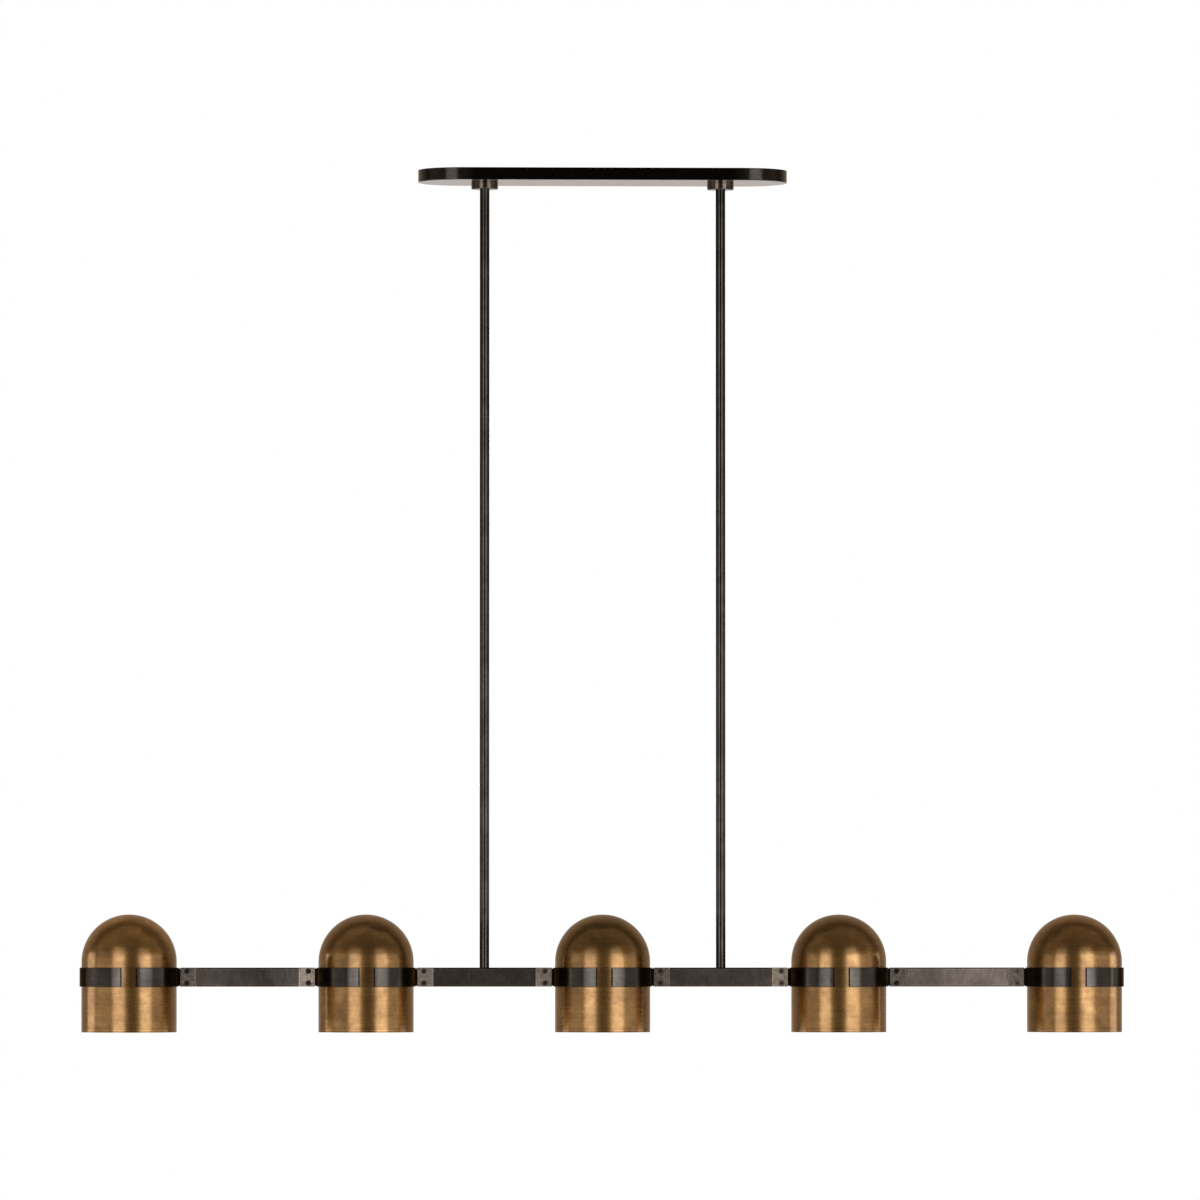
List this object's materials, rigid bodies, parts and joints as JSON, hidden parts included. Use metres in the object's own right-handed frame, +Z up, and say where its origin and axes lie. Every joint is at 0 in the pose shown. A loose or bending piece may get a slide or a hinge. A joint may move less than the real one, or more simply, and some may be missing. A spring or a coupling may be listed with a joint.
{
  "type": "linear island pendant light",
  "caption": "Long ceiling pendant: a capsule canopy and straight rods carry a bar of dome-topped cylindrical metal shades held in split straps.",
  "frame": {"origin": "the middle of the crossbar's top face, where the light meets the ceiling", "axes": "+Z up into the ceiling, +X along the row of shades, -Y the front with the visible screws"},
  "size_m": [1.3962, 0.1304, 1.1527],
  "materials": {
    "canopy_finish": "satin dark bronze, hand rubbed",
    "rod_finish": "satin dark bronze",
    "strap_finish": "satin near-black",
    "bar_finish": "dark gunmetal, brushed and mottled",
    "shade_finish": "aged brass, hand rubbed, fine turning lines",
    "screw_finish": "blackened steel",
    "plated_steel": "zinc plated, unpolished",
    "ground_green": "green plated",
    "lamp_metal": "plain rolled brass",
    "lampholder": "black moulded phenolic",
    "bulb_glass": "frosted white",
    "bulb_cap": "rolled screw cap"
  },
  "bodies": {
    "fixture": {"bar_1": "bar_finish", "bar_2": "bar_finish", "bar_3": "bar_finish", "bar_4": "bar_finish", "bar_tongues": "plated_steel", "bridge_1": "plated_steel", "bridge_2": "plated_steel", "bridge_3": "plated_steel", "bridge_4": "plated_steel", "bridge_5": "plated_steel", "ceiling_crossbar": "plated_steel", "end_strap_screws": "plated_steel", "ground_screw": "ground_green", "hanger_nipples": "plated_steel", "hanger_nuts": "plated_steel", "joint_screws": "screw_finish", "left_rod": "rod_finish", "right_rod": "rod_finish", "rod_foot_blocks": "plated_steel", "rod_foot_studs": "plated_steel", "shade_1": "shade_finish", "shade_2": "shade_finish", "shade_3": "shade_finish", "shade_4": "shade_finish", "shade_5": "shade_finish", "socket_1": "lampholder", "socket_2": "lampholder", "socket_3": "lampholder", "socket_4": "lampholder", "socket_5": "lampholder", "socket_contacts": "lamp_metal", "socket_lock_nuts": "plated_steel", "socket_nipples": "plated_steel", "socket_shells": "lamp_metal", "strap_1_left": "strap_finish", "strap_1_right": "strap_finish", "strap_2_left": "strap_finish", "strap_2_right": "strap_finish", "strap_3_left": "strap_finish", "strap_3_right": "strap_finish", "strap_4_left": "strap_finish", "strap_4_right": "strap_finish", "strap_5_left": "strap_finish", "strap_5_right": "strap_finish", "wireway_bolts": "plated_steel"},
    "canopy": {"canopy": "canopy_finish"},
    "left_collar": {"left_collar": "canopy_finish", "left_collar_screw": "screw_finish"},
    "right_collar": {"right_collar": "canopy_finish", "right_collar_screw": "screw_finish"},
    "bulb_1": {"bulb_1": "bulb_glass", "bulb_base_1": "bulb_cap"},
    "bulb_2": {"bulb_2": "bulb_glass", "bulb_base_2": "bulb_cap"},
    "bulb_3": {"bulb_3": "bulb_glass", "bulb_base_3": "bulb_cap"},
    "bulb_4": {"bulb_4": "bulb_glass", "bulb_base_4": "bulb_cap"},
    "bulb_5": {"bulb_5": "bulb_glass", "bulb_base_5": "bulb_cap"}
  },
  "joints": [
    {"name": "canopy_slide", "type": "slide", "parent": "fixture", "child": "canopy", "axis": [0, 0, -1], "range_m": [0, 0.97]},
    {"name": "left_collar_slide", "type": "slide", "parent": "fixture", "child": "left_collar", "axis": [0, 0, -1], "range_m": [0, 0.97]},
    {"name": "right_collar_slide", "type": "slide", "parent": "fixture", "child": "right_collar", "axis": [0, 0, -1], "range_m": [0, 0.97]},
    {"name": "bulb_1_out", "type": "slide", "parent": "fixture", "child": "bulb_1", "axis": [0, 0, -1], "range_m": [0, 0.025]},
    {"name": "bulb_2_out", "type": "slide", "parent": "fixture", "child": "bulb_2", "axis": [0, 0, -1], "range_m": [0, 0.025]},
    {"name": "bulb_3_out", "type": "slide", "parent": "fixture", "child": "bulb_3", "axis": [0, 0, -1], "range_m": [0, 0.025]},
    {"name": "bulb_4_out", "type": "slide", "parent": "fixture", "child": "bulb_4", "axis": [0, 0, -1], "range_m": [0, 0.025]},
    {"name": "bulb_5_out", "type": "slide", "parent": "fixture", "child": "bulb_5", "axis": [0, 0, -1], "range_m": [0, 0.025]}
  ],
  "couplings": [
    {"joint": "left_collar_slide", "follows": "canopy_slide", "ratio": 1},
    {"joint": "right_collar_slide", "follows": "canopy_slide", "ratio": 1}
  ]
}
